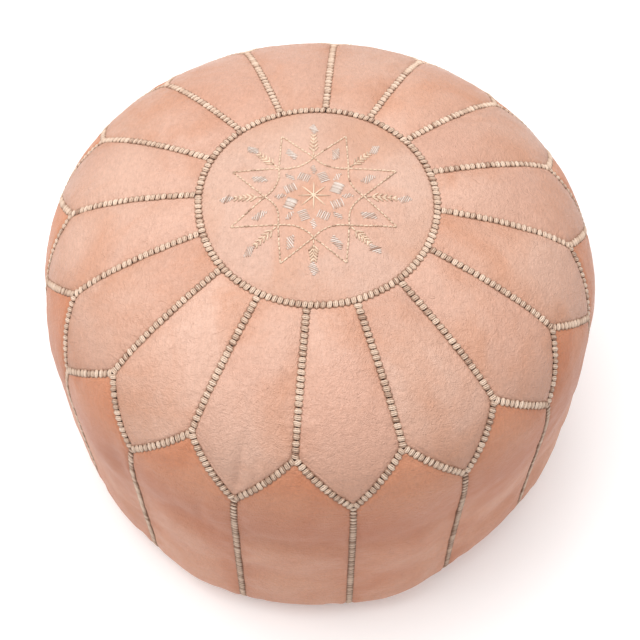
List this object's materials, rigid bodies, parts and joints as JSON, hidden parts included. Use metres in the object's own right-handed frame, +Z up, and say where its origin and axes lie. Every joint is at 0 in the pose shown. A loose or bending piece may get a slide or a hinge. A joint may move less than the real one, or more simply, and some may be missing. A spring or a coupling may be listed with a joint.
{
  "type": "leather floor pouf",
  "caption": "Round stuffed floor pouf in natural leather: a stitched disc ringed by pointed petals and side panels, with a zip in its base.",
  "frame": {"origin": "middle of the base, on the surface that the pouf stands on", "axes": "+Z up out of the disc; +X along the zip in the base, towards its closed end; one seam between two petals lies on +Y"},
  "size_m": [0.543, 0.543, 0.3515],
  "materials": {
    "disc_leather": "natural vegetable-tanned leather, fine grain, soft satin",
    "petal_leather": "natural vegetable-tanned leather, fine grain, soft satin",
    "side_leather": "natural vegetable-tanned leather, slightly darker and redder",
    "base_leather": "natural leather, plainer and scuffed underneath",
    "seam_thread": "thick ecru thread, close raised stitches",
    "embroidery_thread": "fine silky thread",
    "liner_calico": "plain unbleached calico",
    "cotton_wadding": "loose cotton filling",
    "zip_tape": "woven tape, tan",
    "zip_teeth_brass": "drawn brass teeth",
    "zip_slider_brass": "cast brass, lightly worn"
  },
  "bodies": {
    "pouf": {"base_panel_front": "base_leather", "base_panel_rear": "base_leather", "base_ring_stitching": "seam_thread", "base_seam_stitching_left": "seam_thread", "base_seam_stitching_right": "seam_thread", "crown_stitching": "seam_thread", "inner_liner_bag": "liner_calico", "petal_panel_01": "petal_leather", "petal_panel_02": "petal_leather", "petal_panel_03": "petal_leather", "petal_panel_04": "petal_leather", "petal_panel_05": "petal_leather", "petal_panel_06": "petal_leather", "petal_panel_07": "petal_leather", "petal_panel_08": "petal_leather", "petal_panel_09": "petal_leather", "petal_panel_10": "petal_leather", "petal_panel_11": "petal_leather", "petal_panel_12": "petal_leather", "petal_panel_13": "petal_leather", "petal_panel_14": "petal_leather", "petal_panel_15": "petal_leather", "petal_panel_16": "petal_leather", "side_panel_01": "side_leather", "side_panel_02": "side_leather", "side_panel_03": "side_leather", "side_panel_04": "side_leather", "side_panel_05": "side_leather", "side_panel_06": "side_leather", "side_panel_07": "side_leather", "side_panel_08": "side_leather", "side_panel_09": "side_leather", "side_panel_10": "side_leather", "side_panel_11": "side_leather", "side_panel_12": "side_leather", "side_panel_13": "side_leather", "side_panel_14": "side_leather", "side_panel_15": "side_leather", "side_panel_16": "side_leather", "skirt_stitching": "seam_thread", "star_embroidery": "embroidery_thread", "stuffing_core": "cotton_wadding", "top_disc": "disc_leather", "zip_bottom_stop": "zip_teeth_brass", "zip_tape_front": "zip_tape", "zip_tape_rear": "zip_tape", "zip_teeth_front": "zip_teeth_brass", "zip_teeth_rear": "zip_teeth_brass", "zip_top_stop_front": "zip_teeth_brass", "zip_top_stop_rear": "zip_teeth_brass"},
    "slider": {"zip_slider": "zip_slider_brass"},
    "pull_tab": {"zip_pull_tab": "zip_slider_brass"}
  },
  "joints": [
    {"name": "zip_travel", "type": "slide", "parent": "pouf", "child": "slider", "axis": [1, 0, 0], "range_m": [-0.25, 0], "deforming": ["zip_teeth_rear", "zip_teeth_front"]},
    {"name": "pull_tab_swing", "type": "hinge", "parent": "slider", "child": "pull_tab", "pos_m": [0.125, 0, 0.00275], "axis": [0, -1, 0], "range_deg": [0, 150]}
  ]
}
